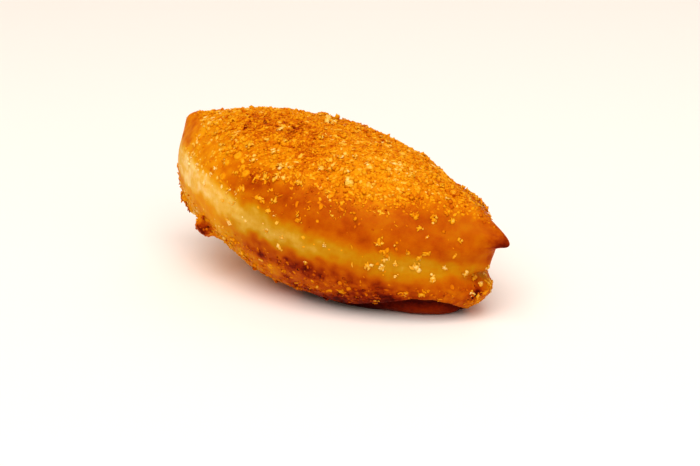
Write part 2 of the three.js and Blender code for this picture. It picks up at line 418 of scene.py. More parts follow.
# How browned the dough is, 0 pale to 1 burnt, with painted shade added in the hollow under the fold and on
# the belly's underside
def browningAndShade(zone, points):
    along, crown, below, pale = (zone[name] for name in ("along", "crown", "below", "pale"))
    brownedAndShaded = alongZone("sideTone", along) * (1 - crown) + alongZone("crownTone", along) * crown
    brownedAndShaded = brownedAndShaded * (1 - below) + alongZone("bellyTone", along) * below
    for (size, start, spread), bellySpread in zip(wander["skin"], wander["belly"]):
        brownedAndShaded = brownedAndShaded + (spread + bellySpread * below) * lumps(points, size, start)
    plan = wander["heelSide"]
    heelSide = smoothStep(zone["up"], *plan["up"]) * (1 - crown) * (1 - smoothStep(along, *plan["along"]))
    brownedAndShaded = brownedAndShaded + heelSide * wandering(points, plan["lump"])
    blotch = wander["blotch"]["start"] + wandering(points, wander["blotch"]["lump"])
    for plan in patches.values():
        share = patchShare(plan, along, zone["around"])
        brownedAndShaded = brownedAndShaded + plan["browner"] * share * (1 + plan["mottled"] * (blotch - 1))
    plan = wander["streaks"]
    stretched = np.stack((along, zone["up"], points[:, 1]), axis=1) * plan["stretch"]
    band = alongZone("bandTone", along) + wandering(stretched, plan["lump"])
    band = band + sum(wandering(points, lump) for lump in wander["band"])
    brownedAndShaded = brownedAndShaded * (1 - pale) + band * pale
    brownedAndShaded = brownedAndShaded + scorching(zone, points)
    # painted shade on the belly where it faces down under the overhang
    plan = wander["undersideShade"]
    nearMiddle = smoothStep(plan["reach"] - np.abs(along - plan["along"]), 0, plan["soft"])
    brownedAndShaded = brownedAndShaded + plan["browner"] * smoothStep(-zone["up"], *plan["down"]) * nearMiddle
    # painted shade in the hollow under the fold over dark browned dough, darkest under the crease and paler
    # lower down where light from the table reaches it
    dark = fold["dark"]
    underFold = smoothStep(zone["underFold"], 0, dark["soft"])
    foldToneAndShade = dark["tone"] - dark["paler"] * smoothStep(zone["underFold"], *dark["zone"])
    return np.clip(brownedAndShaded * (1 - underFold) + foldToneAndShade * underFold, 0, 1)


# Lumps of the skin: size and height in mm, and their start
relief = {
    "swell": (16.0, 0.5, 4.9),
    "ripple": (5.5, 0.25, 4.65),
    "matFine": (0.8, 0.12, 6.3),
    "skinGrain": (1.3, 0.05, 8.8),
    "matGrain": {"size": 1.6, "start": 1.7, "height": 0.2, "middle": 0.6},
    # painted shade: the mat is darker in the low gaps between its grains
    "matGapShade": {"browner": 0.22, "middle": 0.45},  # darker between the grains
    "bellyMat": 0.5,  # share of the mat's relief on the belly
    "brightHeel": (-0.5, -0.05),  # along the bun: the skin of the heel is as bright as crumbs
    "hollow": {"along": -0.45, "around": 222, "reach": (0.16, 16), "height": -1.3},
    "noseFoot": {"along": 0.79, "around": 274, "reach": (0.12, 38), "height": 1.5},  # rests on the table
}

# Lumps of batter that stand out of the outline: a burnt nub under the heel, the ragged lip of the heel
# and one on the crest. Each is along, degrees around, radius and height in mm, and how much browner.
batterEdge = {"size": 1.8, "start": 6.6, "ragged": 0.35}
batter = {
    "nub": (-0.53, 215, 3.4, 3.2, 0.38),
    "lipFront": (-0.71, 220, 1.9, 0.9, 0.14),
    "lipMiddle": (-0.77, 217, 2.2, 1.3, 0.06),
    "crest": (-0.27, 64, 2.4, 0.6, 0.06),
    "nubStain": (-0.49, 208, 2.6, 0.0, 0.27),
}

# Bubbles in the skin: along, degrees around and radius in mm
blisters = {
    "height": 0.2,
    "paler": 0.1,
    "variants": 8,
    "film": (2.0, 1.8, 0.5),  # length, width and height of the film over a blister, in radii
    "sunk": 0.12,
    "filmTone": 0.9,  # share of the skin's tone
    "spots": [(-0.35, 140, 1.5), (-0.39, 149, 1.1), (-0.44, 137, 0.8), (-0.24, 150, 1.4), (-0.37, 160, 1.4),
              (-0.51, 146, 0.8), (-0.28, 146, 0.9), (-0.6, 140, 0.8), (-0.12, 138, 1.0)],
}
blisters["spots"] = bothSides(blisters["spots"])


def blisterShare(points, zone):
    raised = np.zeros(len(points))
    for along, around, radius in blisters["spots"]:
        raised = np.maximum(raised, np.exp(-(awayFrom(points, zone, along, around) / radius) ** 4))
    return raised


def makeBun(material):
    bm = bmesh.new()
    bmesh.ops.create_uvsphere(bm, u_segments=bun["sides"], v_segments=bun["stations"], radius=1,
                              matrix=Matrix.Rotation(math.pi / 2, 4, "Y"))
    bmesh.ops.recalc_face_normals(bm, faces=bm.faces)
    ball, faces = readForm(bm)
    mesh = bpy.data.meshes.new("friedBun")
    mesh.from_pydata(ball.tolist(), [], faces)
    along = np.clip(ball[:, 0], -1, 1)
    around = np.arctan2(ball[:, 2], ball[:, 1])

    level = levelBun(along, around)
    leaned = leanOver(level)
    points = leaned - bunMiddle(leaned)
    writePoints(mesh, points)
    normals = readNormals(mesh)
    for form in bun["shoulder"]:
        place = levelBun(np.array([form["along"]]), np.array([form["around"]]))[0]
        away = np.linalg.norm(level - place, axis=1)
        points = points + normals * (form["height"] * np.exp(-(away / form["radius"]) ** 2))[:, None]

    zone = crustZones(along, around, level[:, 2], points)
    zone["mat"] = np.maximum(zone["crown"], relief["bellyMat"] * zone["belly"])
    mat = zone["mat"]

    def raised(name):
        size, tall, start = relief[name]
        return tall * lumps(points, size, start)

    grain = relief["matGrain"]
    gaps = grains(points, grain["size"], grain["start"])
    height = raised("swell") + raised("ripple")
    height += mat * grain["height"] * (grain["middle"] - gaps)
    height += mat * raised("matFine")
    height += (1 - mat) * raised("skinGrain")
    height -= fold["depth"] * zone["foldShare"]
    for form in (relief["hollow"], relief["noseFoot"]):
        height += form["height"] * patchShare(form, along, zone["around"])
    zone["blister"] = blisterShare(points, zone)
    height += blisters["height"] * zone["blister"]
    brownedAndShaded = browningAndShade(zone, points) - blisters["paler"] * zone["blister"]
    bumpy = 1 + batterEdge["ragged"] * lumps(points, batterEdge["size"], batterEdge["start"])
    for lumpAlong, lumpAround, radius, tall, browner in batter.values():
        share = np.exp(-(awayFrom(points, zone, lumpAlong, lumpAround) * bumpy / radius) ** 4)
        height += tall * share
        brownedAndShaded = brownedAndShaded + browner * share
    zone["brownedAndShaded"] = np.clip(brownedAndShaded, 0, 1)
    zone["bright"] = np.maximum(mat, 1 - smoothStep(along, *relief["brightHeel"]))
    # painted shade in the low gaps between the mat's grains, added to the skin's tone
    gapShadeTone = relief["matGapShade"]["browner"] * mat * (gaps - relief["matGapShade"]["middle"])
    skinToneAndShade = np.clip(zone["brownedAndShaded"] + gapShadeTone, 0, 1)
    points = points + normals * height[:, None]
    points[:, 2] = np.maximum(points[:, 2], 0)

    writePoints(mesh, points * mm)
    for face in mesh.polygons:
        face.use_smooth = True
    # the tone attribute holds the dough's browning together with the painted shade of the fold, the belly's
    # underside and the mat's gaps
    shares = {"brownedAndShaded": skinToneAndShade, "crumbed": mat, "bright": zone["bright"], "toasted": zone["toast"]}
    for name, share in shares.items():
        setShare(mesh, name, share)
    piece = newPiece("friedBun", mesh, material)
    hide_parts(breadNode)
    return piece, points, zone


# Crumbs: ragged shards, flat flakes and slivers, scattered over the bun by zone

# Corners, triangles and tints of a crumb: browner at its edge, and paler on top and browner at its foot as
# painted light and shade
def templatePoints(bm, litTopShadedFoot=0.14, fadeOut=0.0):
    bmesh.ops.triangulate(bm, faces=bm.faces)
    points, faces = readForm(bm)
    faces = np.array(faces)
    edge = np.clip(np.hypot(points[:, 0], points[:, 1]) / 0.4, 0, 1)
    return points, faces, fadeOut * (edge - 1) - litTopShadedFoot * np.clip(points[:, 2], -0.5, 0.5)


# A lump with its corners pulled in by chance
def shardTemplate():
    bm = bmesh.new()
    bmesh.ops.create_icosphere(bm, subdivisions=1, radius=0.5)
    settleOrder(bm)
    for corner in bm.verts:
        corner.co *= dice.uniform(0.5, 1.2)
    # painted light and shade: a paler top and browner foot, stronger on the lumps
    return templatePoints(bm, litTopShadedFoot=0.28)


# A flat outline given a thickness of 1
def thicken(bm):
    top = bmesh.ops.extrude_face_region(bm, geom=bm.faces[:])["geom"]
    raised = [part for part in top if isinstance(part, bmesh.types.BMVert)]
    bmesh.ops.translate(bm, verts=raised, vec=(0, 0, 1))
    bmesh.ops.recalc_face_normals(bm, faces=bm.faces)


# A thin plate with a torn edge, bent by up to curled
def plateTemplate(corners, narrowest, fadeOut, curled=None):
    bm = bmesh.new()
    bmesh.ops.create_circle(bm, cap_ends=True, segments=corners, radius=0.5)
    settleOrder(bm)
    for corner in bm.verts:
        corner.co *= dice.uniform(narrowest, 1.2)
    curl = dice.uniform(-0.3, curled) if curled else 0
    thicken(bm)
    bmesh.ops.poke(bm, faces=[face for face in bm.faces if face.normal.z > 0.9])
    settleOrder(bm)
    for corner in bm.verts:
        corner.co.z += -0.5 + 3 * curl * corner.co.x ** 2 + dice.uniform(-0.3, 0.3)
    return templatePoints(bm, fadeOut=fadeOut)


# A small flat scrap lying close to the skin
def fleckTemplate():
    return plateTemplate(6, 0.45, 0.2)


# A torn flake, a little curled
def flakeTemplate(narrowest=0.35, curled=0.9):
    return plateTemplate(9, narrowest, 0.24, curled)


# An open ring of thin film, torn at its ends
def curlTemplate():
    bm = bmesh.new()
    bmesh.ops.create_grid(bm, x_segments=8, y_segments=1, size=0.5)
    settleOrder(bm)
    sweep = math.radians(dice.uniform(170, 290))
    for corner in bm.verts:
        angle = corner.co.x * sweep
        radius = 0.4 + corner.co.y * dice.uniform(0.12, 0.3)
        corner.co = (radius * math.cos(angle), radius * math.sin(angle), 0)
    thicken(bm)
    settleOrder(bm)
    for corner in bm.verts:
        corner.co.z += dice.uniform(-0.8, 0.2)
    return templatePoints(bm)


# A flat bubble of thin film, palest in a ring near its edge
def bubbleTemplate():
    bm = bmesh.new()
    bmesh.ops.create_uvsphere(bm, u_segments=12, v_segments=10, radius=0.5)
    wobble = [dice.uniform(0.8, 1.12) for _ in range(12)]
    for corner in bm.verts:
        side = int(round((math.atan2(corner.co.y, corner.co.x) / (2 * math.pi)) * 12)) % 12
        corner.co.x *= wobble[side]
        corner.co.y *= wobble[side]
    points, faces, _ = templatePoints(bm)
    ring = np.exp(-((points[:, 2] - 0.4) / 0.07) ** 2)
    rim = np.exp(-((points[:, 2] - 0.22) / 0.08) ** 2)
    return points, faces, 0.1 * rim - 0.2 * ring * dice.uniform(0.2, 1.0, len(points))


# A bent splinter
def sliverTemplate():
    bm = bmesh.new()
    bmesh.ops.create_cube(bm, size=1)
    longEdges = [e for e in bm.edges if abs(e.verts[0].co.x - e.verts[1].co.x) > 0.5]
    bmesh.ops.subdivide_edges(bm, edges=longEdges, cuts=2)
    settleOrder(bm)
    bend = dice.uniform(-2.5, 2.5)
    for corner in bm.verts:
        taper = 1 - 0.6 * abs(2 * corner.co.x) ** 2
        corner.co.y = corner.co.y * taper + bend * corner.co.x ** 2 + dice.uniform(-0.12, 0.12)
        corner.co.z = corner.co.z * taper + dice.uniform(-0.12, 0.12)
    return templatePoints(bm)


def skinTriangles(piece, points):
    piece.data.calc_loop_triangles()
    corners = np.empty(len(piece.data.loop_triangles) * 3, dtype=np.int32)
    piece.data.loop_triangles.foreach_get("vertices", corners)
    corners = corners.reshape(-1, 3)
    a, b, c = (points[corners[:, i]] for i in range(3))
    across = np.cross(b - a, c - a)
    return {"corners": corners, "points": points, "normals": readNormals(piece.data),
            "area": np.linalg.norm(across, axis=1) / 2}


def pickSpots(skin, count, density):
    weight = skin["area"] * density[skin["corners"]].mean(axis=1)
    faces = dice.choice(len(weight), size=count, p=weight / weight.sum())
    share = dice.dirichlet((1, 1, 1), size=count)[..., None]
    corners = skin["corners"][faces]
    places = (skin["points"][corners] * share).sum(axis=1)
    normals = unit((skin["normals"][corners] * share).sum(axis=1))
    return places, normals, corners[:, 0]


# One mesh of many copies, each stretched to its size, spun and tipped on the crust
def joinCopies(templates, places, normals, sizes, tips):
    helper = np.where(np.abs(normals[:, 2:]) < 0.9, [[0.0, 0.0, 1.0]], [[1.0, 0.0, 0.0]])
    side = unit(np.cross(normals, helper))
    spin = dice.uniform(0, 2 * math.pi, len(places))[:, None]
    lengthwise = side * np.cos(spin) + np.cross(normals, side) * np.sin(spin)
    across = np.cross(normals, lengthwise)
    tip = tips[:, None]
    upright = normals * np.cos(tip) + lengthwise * np.sin(tip)
    lengthwise = lengthwise * np.cos(tip) - normals * np.sin(tip)
    basis = np.stack((lengthwise, across, upright), axis=1) * sizes[:, :, None]
    kinds = dice.integers(0, len(templates), len(places))
    points, faces, owners, tints, start = [], [], [], [], 0
    for kind, (shape, shapeFaces, shapeTints) in enumerate(templates):
        chosen = np.flatnonzero(kinds == kind)
        copies = places[chosen][:, None, :] + shape @ basis[chosen]
        steps = start + np.arange(len(chosen)) * len(shape)
        points.append(copies.reshape(-1, 3))
        faces.append((shapeFaces[None] + steps[:, None, None]).reshape(-1, 3))
        owners.append(np.repeat(chosen, len(shape)))
        tints.append(np.tile(shapeTints, len(chosen)))
        start += len(chosen) * len(shape)
    return [np.concatenate(part) for part in (points, faces, owners, tints)]


# Copies joined into one piece, each with its tone
def crumbPiece(name, copies, tones, rounded, material):
    points, faces, owners, tints = copies
    mesh = bpy.data.meshes.new(name)
    mesh.from_pydata((points * mm).tolist(), [], faces.tolist())
    setShare(mesh, "brownedAndShaded", np.clip(tones[owners] + tints, 0, 1))
    if rounded:
        mesh.shade_smooth()
    newPiece(name, mesh, material)
    print(name, len(tones), "crumbs,", len(faces), "triangles")


# How crumbs lie, in shares of their length
lying = {
    "bareSize": 0.8,  # size on bare skin, and how much more on the mat
    "matGain": 0.2,
    "standingTips": (0.8, 1.3),
    "tipLift": 0.3,
    "clear": 0.65,  # least height over the table
    "oilier": 0.08,  # browner on bare skin
}


# One kind of crumb as one piece. plan gives its count, sizes in mm, tips and tones.
def makeCrumbs(name, plan, skin, density, zone, material):
    count = plan["count"]
    places, normals, corner = pickSpots(skin, count, density)
    if "clump" in plan:  # gathered in little heaps
        members, spread = plan["clump"]
        heap = np.arange(count) // members * members
        drift = dice.normal(0, spread / 2, (count, 3))
        drift -= normals[heap] * (drift * normals[heap]).sum(axis=1, keepdims=True)
        places, normals, corner = places[heap] + drift, normals[heap], corner[heap]
    shortest, longest = plan["length"]
    length = shortest + (longest - shortest) * dice.random(count) ** plan["smallBias"]
    length *= lying["bareSize"] + lying["matGain"] * zone["mat"][corner]
    width = length * dice.uniform(*plan["width"], count)
    thick = length * dice.uniform(*plan["thick"], count)
    standing = dice.random(count) < plan.get("standing", 0)
    tips = np.where(standing, dice.uniform(*lying["standingTips"], count), dice.normal(0, plan["tip"], count))
    lift = thick * plan["proud"] + length * lying["tipLift"] * np.abs(np.sin(tips))
    places = places + normals * lift[:, None]
    clear = places[:, 2] > lying["clear"] * length
    places, normals, tips, corner = (part[clear] for part in (places, normals, tips, corner))
    sizes = np.stack((length, width, thick), axis=1)[clear]
    templates = [plan["template"]() for _ in range(plan["variants"])]
    tones = plan["tone"][0] + plan["tone"][1] * zone["brownedAndShaded"][corner]
    tones = tones + dice.normal(0, plan["toneSpread"], len(places))
    tones = tones + lying["oilier"] * (1 - zone["bright"][corner])
    copies = joinCopies(templates, places, normals, sizes, tips)
    crumbPiece(name, copies, tones, plan.get("rounded"), material)


# tone is a start and a share of how browned the dough is underneath.
# where is how thickly a kind lies in each zone.
crumbs = {
    "fineCrumbs": {
        "template": shardTemplate, "variants": 16, "count": 5200, "length": (0.75, 2.2), "smallBias": 1.5,
        "width": (0.7, 1.0), "thick": (0.48, 0.72), "tip": 0.4, "proud": -0.22,
        "tone": (-0.02, 1.0), "toneSpread": 0.08, "rounded": True, "offBlisters": True,
        "where": {"crown": 1.0, "heelSide": 0.1, "side": 0.02, "belly": 0.24, "lip": 0.1}},
    "crumbClumps": {
        "template": shardTemplate, "variants": 12, "count": 340, "length": (0.9, 2.1), "smallBias": 1.3,
        "width": (0.6, 1.0), "thick": (0.45, 0.75), "tip": 0.4, "proud": 0.05,
        "tone": (-0.05, 0.98), "toneSpread": 0.09, "rounded": True, "offBlisters": True, "clump": (3, 1.3),
        "where": {"crown": 0.8, "heelSide": 0.3, "belly": 0.3, "heelBelly": 0.5, "shoulder": 1.5}},
    "flecks": {
        "template": fleckTemplate, "variants": 16, "count": 2900, "length": (0.7, 2.1), "smallBias": 1.5,
        "width": (0.5, 0.9), "thick": (0.1, 0.17), "tip": 0.06, "proud": -0.2,
        "tone": (-0.01, 1.0), "toneSpread": 0.11, "offBlisters": True,
        "where": {"crown": 1.0, "heelSide": 0.16, "side": 0.06, "belly": 0.3, "noseBelly": 0.15,
                  "heelBelly": 0.2, "noseWaist": 0.05, "lip": 0.12, "band": 0.1}},
    "pankoFlakes": {
        "template": flakeTemplate, "variants": 14, "count": 760, "length": (1.1, 3.2), "smallBias": 1.6,
        "width": (0.4, 0.8), "thick": (0.09, 0.14), "tip": 0.06, "proud": -0.15,
        "tone": (-0.02, 0.95), "toneSpread": 0.11,
        "where": {"crown": 0.8, "heelSide": 0.24, "side": 0.05, "belly": 0.14, "noseWaist": 0.08,
                  "lip": 0.25}},
    "paleFlakes": {
        "template": flakeTemplate, "variants": 12, "count": 420, "length": (1.0, 3.0), "smallBias": 1.5,
        "width": (0.4, 0.9), "thick": (0.1, 0.16), "tip": 0.09, "proud": 0.05,
        "tone": (0.12, 0.45), "toneSpread": 0.08, "clump": (4, 1.0),
        "where": {"crown": 0.5, "heelSide": 0.8, "side": 0.1, "belly": 0.06, "noseBelly": 0.15,
                  "heelBelly": 0.15, "noseWaist": 0.15, "lip": 0.3, "band": 0.16}},
    "curledFlakes": {
        "template": curlTemplate, "variants": 10, "count": 46, "length": (1.4, 2.6), "smallBias": 1.4,
        "width": (0.6, 0.9), "thick": (0.1, 0.14), "tip": 0.12, "proud": 0.2,
        "tone": (0.04, 0.6), "toneSpread": 0.07,
        "where": {"crown": 0.5, "heelSide": 0.9, "side": 0.2, "belly": 0.1, "noseWaist": 0.4, "lip": 0.2}},
    "toastedCrumbs": {
        "template": shardTemplate, "variants": 8, "count": 480, "length": (0.6, 1.5), "smallBias": 1.8,
        "width": (0.6, 0.9), "thick": (0.4, 0.6), "tip": 0.3, "proud": -0.05,
        "tone": (0.36, 0.6), "toneSpread": 0.06, "rounded": True,
        "where": {"crown": 0.04, "toast": 1.0, "belly": 0.1}},
    "slivers": {
        "template": sliverTemplate, "variants": 10, "count": 170, "length": (0.9, 2.2), "smallBias": 1.5,
        "width": (0.16, 0.28), "thick": (0.1, 0.16), "tip": 0.15, "proud": 0.5,
        "tone": (0.02, 0.55), "toneSpread": 0.08,
        "where": {"crown": 0.5, "heelSide": 0.5, "side": 0.15, "belly": 0.1, "noseWaist": 0.3, "lip": 0.2}},
    "shoulderFlakes": {
        "template": flakeTemplate, "variants": 12, "count": 90, "length": (1.1, 2.6), "smallBias": 1.2,
        "width": (0.5, 0.9), "thick": (0.18, 0.3), "tip": 0.5, "standing": 0.02, "proud": 0.4,
        "tone": (-0.14, 0.85), "toneSpread": 0.08, "rounded": True,
        "where": {"shoulder": 1.0}},
}


# Where crumbs stand thick enough to break the outline
heaps = {
    "noseShoulder": {"along": 0.69, "around": 50, "reach": (0.07, 10), "thick": 1.0},
    "crownBack": {"along": -0.12, "around": 80, "reach": (0.035, 5), "thick": 1.0},
    "heelTop": {"along": -0.93, "around": 82, "reach": (0.03, 20), "thick": 0.3},
    "heelLip": {"along": -0.86, "around": 225, "reach": (0.08, 14), "thick": 0.4},
}


# Edges of the crumbs' own zones: along the bun, or degrees up or down from the waist
crumbEdges = {
    "bareHeel": (-0.86, -0.72),
    "bareNose": (0.78, 0.9),
    "side": (9, 18),
    "heelSide": (-0.05, 0.4),
    "noseWaist": {"along": 0.62, "up": -2, "reach": (0.28, 11)},
    "lip": {"along": (0.9, 0.96), "down": (12, 25)},
    "noseBelly": (0.4, 0.7),
    "heelBelly": (-0.1, 0.2),
    "band": (0.2, 0.5),
    "blisterBare": 0.9,
}


def crumbZones(zone):
    along, up, crown, belly = (zone[name] for name in ("along", "up", "crown", "belly"))
    waist, lip = crumbEdges["noseWaist"], crumbEdges["lip"]

    def past(name):
        return smoothStep(along, *crumbEdges[name])

    bareNose = 1 - past("bareNose")
    side = smoothStep(up, *crumbEdges["side"]) * (1 - crown) * past("bareHeel") * bareNose
    noseWaist = np.exp(-((along - waist["along"]) / waist["reach"][0]) ** 2)
    noseWaist = noseWaist * np.exp(-((up - waist["up"]) / waist["reach"][1]) ** 2) * bareNose
    return {
        "crown": crown,
        "side": side,
        "heelSide": side * (1 - past("heelSide")),
        "belly": belly,
        "noseBelly": belly * past("noseBelly"),
        "heelBelly": belly * (1 - past("heelBelly")),
        "noseWaist": noseWaist,
        "lip": smoothStep(along, *lip["along"]) * smoothStep(-up, *lip["down"]),
        "band": zone["pale"] * (1 - past("band")),
        "toast": zone["toast"] * (crown + belly),
        "shoulder": sum(plan["thick"] * patchShare(plan, along, zone["around"]) for plan in heaps.values()),
    }


# How thickly one kind lies over the crust
def crumbDensity(plan, shares, zone):
    density = sum(thick * shares[name] for name, thick in plan["where"].items())
    if plan.get("offBlisters"):
        density = density * (1 - crumbEdges["blisterBare"] * zone["blister"])
    return density


# Torn flakes in heaps of their own: along, degrees around, width of the heap in mm and how browned it is
flakeHeaps = [
    # crown and shoulder
    (-0.25, 108, 2.4, 0.08), (-0.26, 121, 2.0, 0.08), (-0.33, 130, 3.0, 0.16), (-0.08, 136, 2.8, 0.08),
    (-0.02, 134, 1.7, 0.12), (-0.03, 104, 2.4, 0.18), (0.15, 112, 1.9, 0.08), (0.2, 108, 2.0, 0.14),
    (0.12, 126, 2.2, 0.1), (0.16, 125, 2.2, 0.12), (0.07, 142, 2.5, 0.2), (0.28, 129, 3.4, 0.06),
    (0.23, 121, 2.4, 0.16), (-0.07, 146, 2.4, 0.26), (-0.17, 116, 1.7, 0.16), (0.47, 98, 3.2, 0.14),
    (0.58, 88, 2.4, 0.2), (0.65, 97, 1.6, 0.14), (0.49, 123, 1.4, 0.16), (0.7, 60, 3.0, 0.3),
    (0.74, 72, 2.6, 0.24), (0.66, 50, 3.0, 0.34), (-0.25, 66, 3.0, 0.42), (-0.2, 70, 2.4, 0.5),
    (-0.45, 128, 2.4, 0.16), (-0.5, 138, 2.2, 0.14), (-0.41, 149, 2.4, 0.14), (-0.24, 139, 2.6, 0.12),
    (-0.17, 128, 2.2, 0.1), (-0.55, 122, 2.0, 0.18), (-0.3, 152, 2.2, 0.2), (-0.13, 147, 2.6, 0.16),
    (-0.01, 158, 2.4, 0.2), (-0.6, 130, 1.8, 0.2),
    # side and waist
    (0.67, 138, 1.8, 0.22), (0.72, 144, 1.2, 0.16), (0.83, 130, 2.2, 0.26), (0.54, 162, 2.8, 0.3),
    (0.62, 162, 1.1, 0.28), (0.58, 170, 2.7, 0.34), (0.68, 166, 1.5, 0.18), (0.76, 162, 2.2, 0.2),
    (0.74, 169, 2.2, 0.18), (0.59, 178, 2.0, 0.06), (0.64, 179, 2.2, 0.12), (0.51, 184, 2.5, 0.16),
    (0.58, 183, 1.9, 0.12), (0.74, 180, 3.2, 0.06), (0.87, 180, 2.0, 0.08), (0.94, 188, 2.2, 0.14),
    (0.65, 188, 1.6, 0.18), (0.81, 190, 2.8, 0.12), (0.98, 223, 2.8, 0.24), (0.97, 294, 2.6, 0.3),
    # the first three heaps on the next line lie on the lip's top: pale flakes, painted paler still as light
    # where the notch shades them
    (0.96, 324, 1.8, 0.06), (0.95, 316, 1.8, 0.06), (0.98, 248, 2.0, 0.04), (0.07, 188, 2.0, 0.08),
    (-0.02, 181, 1.4, 0.08), (0.08, 181, 1.6, 0.14), (0.31, 176, 1.5, 0.06), (0.15, 165, 2.4, 0.3),
    (0.01, 168, 1.3, 0.12),
    # belly, the crease by the table and the ragged lip of the heel
    (-0.42, 213, 2.6, 0.24), (-0.36, 215, 2.4, 0.2), (-0.5, 203, 2.0, 0.3), (-0.3, 211, 2.2, 0.24),
    (-0.2, 214, 2.0, 0.2), (0.75, 206, 2.6, 0.32), (0.81, 215, 1.4, 0.24), (0.51, 224, 2.0, 0.5),
    (0.54, 218, 1.4, 0.3), (0.07, 209, 2.0, 0.3), (0.21, 192, 1.8, 0.16), (-0.07, 206, 1.7, 0.16),
    (0.38, 211, 2.6, 0.36), (-0.86, 208, 2.4, 0.46), (-0.79, 215, 2.8, 0.52), (-0.74, 219, 3.0, 0.56),
    (-0.71, 219, 2.6, 0.58), (-0.57, 221, 2.6, 0.66),
]
flakeRings = [(0.31, 150, 4.4, 0.36), (-0.28, 170, 4.2, 0.12)]


heapForm = {
    "bits": (3, 2),  # bits in a heap, and more for each mm of its width
    "spread": 0.42,  # share of the width that they cover
    "length": (0.3, 0.9), "lengthPower": 0.7,
    "ring": {"bits": 18, "spread": 0.5, "length": (0.5, 1.0)},
    "width": (0.4, 0.9), "thick": 0.22,  # shares of the length
    "tone": (0.2, 0.1),  # added to the heap's, and how far it varies
    "tip": 0.3, "tipLift": 0.2, "proud": 0.02,
    "matLift": 0.3,  # mm higher on the mat
    "clear": 0.6,  # least height over the table, as a share of the length
    "splinters": 4, "splinterWidth": 0.4, "shards": 5, "flakes": 8,
}
scrapForm = {
    "smallest": 1.5,  # heaps narrower than this have no scrap
    "length": 0.74, "stretch": (0.8, 1.1),  # shares of the heap's width
    "width": (0.5, 0.8), "thick": 0.14, "tone": (0.24, 0.05),
    "tipLift": 0.0, "proud": 0.12, "matLift": 0.34, "clear": 0.6,
    "narrowest": 0.6, "curled": 0.3, "variants": 10,
}


# Copies laid on the crust at the given corners
def layCopies(name, form, templates, corners, flat, tips, tones, skin, zone, material):
    lengths, widths = flat
    ups = skin["normals"][corners]
    sizes = np.stack((lengths, widths, form["thick"] * lengths), axis=1)
    raised = form["tipLift"] * lengths * np.abs(np.sin(tips)) + form["proud"]
    raised = raised + form["matLift"] * zone["crown"][corners]
    places = skin["points"][corners] + ups * raised[:, None]
    clear = places[:, 2] > form["clear"] * lengths
    copies = joinCopies(templates, places[clear], ups[clear], sizes[clear], tips[clear])
    crumbPiece(name, copies, tones[clear], True, material)


# Heaps on both sides and the two rings: along, around, width, tone and whether it is a ring
def heapSpots():
    return [(*spot, False) for spot in bothSides(flakeHeaps)] + [(*spot, True) for spot in flakeRings]


# Each heap is shreds, lumps and torn flakes lying over one another
def makeHeaps(name, spots, skin, zone, material):
    points, normals = skin["points"], skin["normals"]
    ringForm = heapForm["ring"]
    least, perMm = heapForm["bits"]
    corners, lengths, tones = [], [], []
    for along, around, width, tone, ring in spots:
        middle = nearestCorner(zone, along, around)
        side = unit(np.cross(normals[middle], (0.3, 0.2, 1.0)))
        for _ in range(ringForm["bits"] if ring else int(least + perMm * width)):
            angle = dice.uniform(0, 2 * math.pi)
            away = width * (ringForm["spread"] if ring else heapForm["spread"] * math.sqrt(dice.random()))
            drift = side * math.cos(angle) + np.cross(normals[middle], side) * math.sin(angle)
            corners.append(np.argmin(np.linalg.norm(points - points[middle] - away * drift, axis=1)))
            wide = 1 if ring else width ** heapForm["lengthPower"]
            lengths.append(wide * dice.uniform(*(ringForm if ring else heapForm)["length"]))
            tones.append(tone + dice.normal(*heapForm["tone"]))
    corners, lengths, tones = (np.array(part) for part in (corners, lengths, tones))
    widths = lengths * dice.uniform(*heapForm["width"], len(corners))
    tips = dice.normal(0, heapForm["tip"], len(corners))
    splinters = [sliverTemplate() for _ in range(heapForm["splinters"])]
    for shape, _, _ in splinters:
        shape[:, 1] *= heapForm["splinterWidth"]
    templates = splinters + [shardTemplate() for _ in range(heapForm["shards"])]
    templates = templates + [flakeTemplate() for _ in range(heapForm["flakes"])]
    layCopies(name, heapForm, templates, corners, (lengths, widths), tips, tones, skin, zone, material)


# One flat scrap in the middle of each larger heap
def makeScraps(name, spots, skin, zone, material):
    chosen = [spot[:4] for spot in spots if not spot[4] and spot[2] > scrapForm["smallest"]]
    count = len(chosen)
    corners = [nearestCorner(zone, along, around) for along, around, _, _ in chosen]
    lengths = np.array([scrapForm["length"] * width for _, _, width, _ in chosen])
    lengths = lengths * dice.uniform(*scrapForm["stretch"], count)
    widths = lengths * dice.uniform(*scrapForm["width"], count)
    tones = np.array([tone for _, _, _, tone in chosen]) + dice.normal(*scrapForm["tone"], count)
    narrowest, curled = scrapForm["narrowest"], scrapForm["curled"]
    templates = [flakeTemplate(narrowest, curled) for _ in range(scrapForm["variants"])]
    tips = np.zeros(count)
    layCopies(name, scrapForm, templates, corners, (lengths, widths), tips, tones, skin, zone, material)


# Bubbles of film where the skin blistered
def makeBubbles(name, skin, zone, material):
    corners = [nearestCorner(zone, along, around) for along, around, _ in blisters["spots"]]
    radius = np.array([spot[2] for spot in blisters["spots"]])[:, None]
    ups = skin["normals"][corners]
    places = skin["points"][corners] - ups * blisters["sunk"] * radius
    templates = [bubbleTemplate() for _ in range(blisters["variants"])]
    copies = joinCopies(templates, places, ups, radius * blisters["film"], np.zeros(len(radius)))
    crumbPiece(name, copies, zone["brownedAndShaded"][corners] * blisters["filmTone"], True, material)


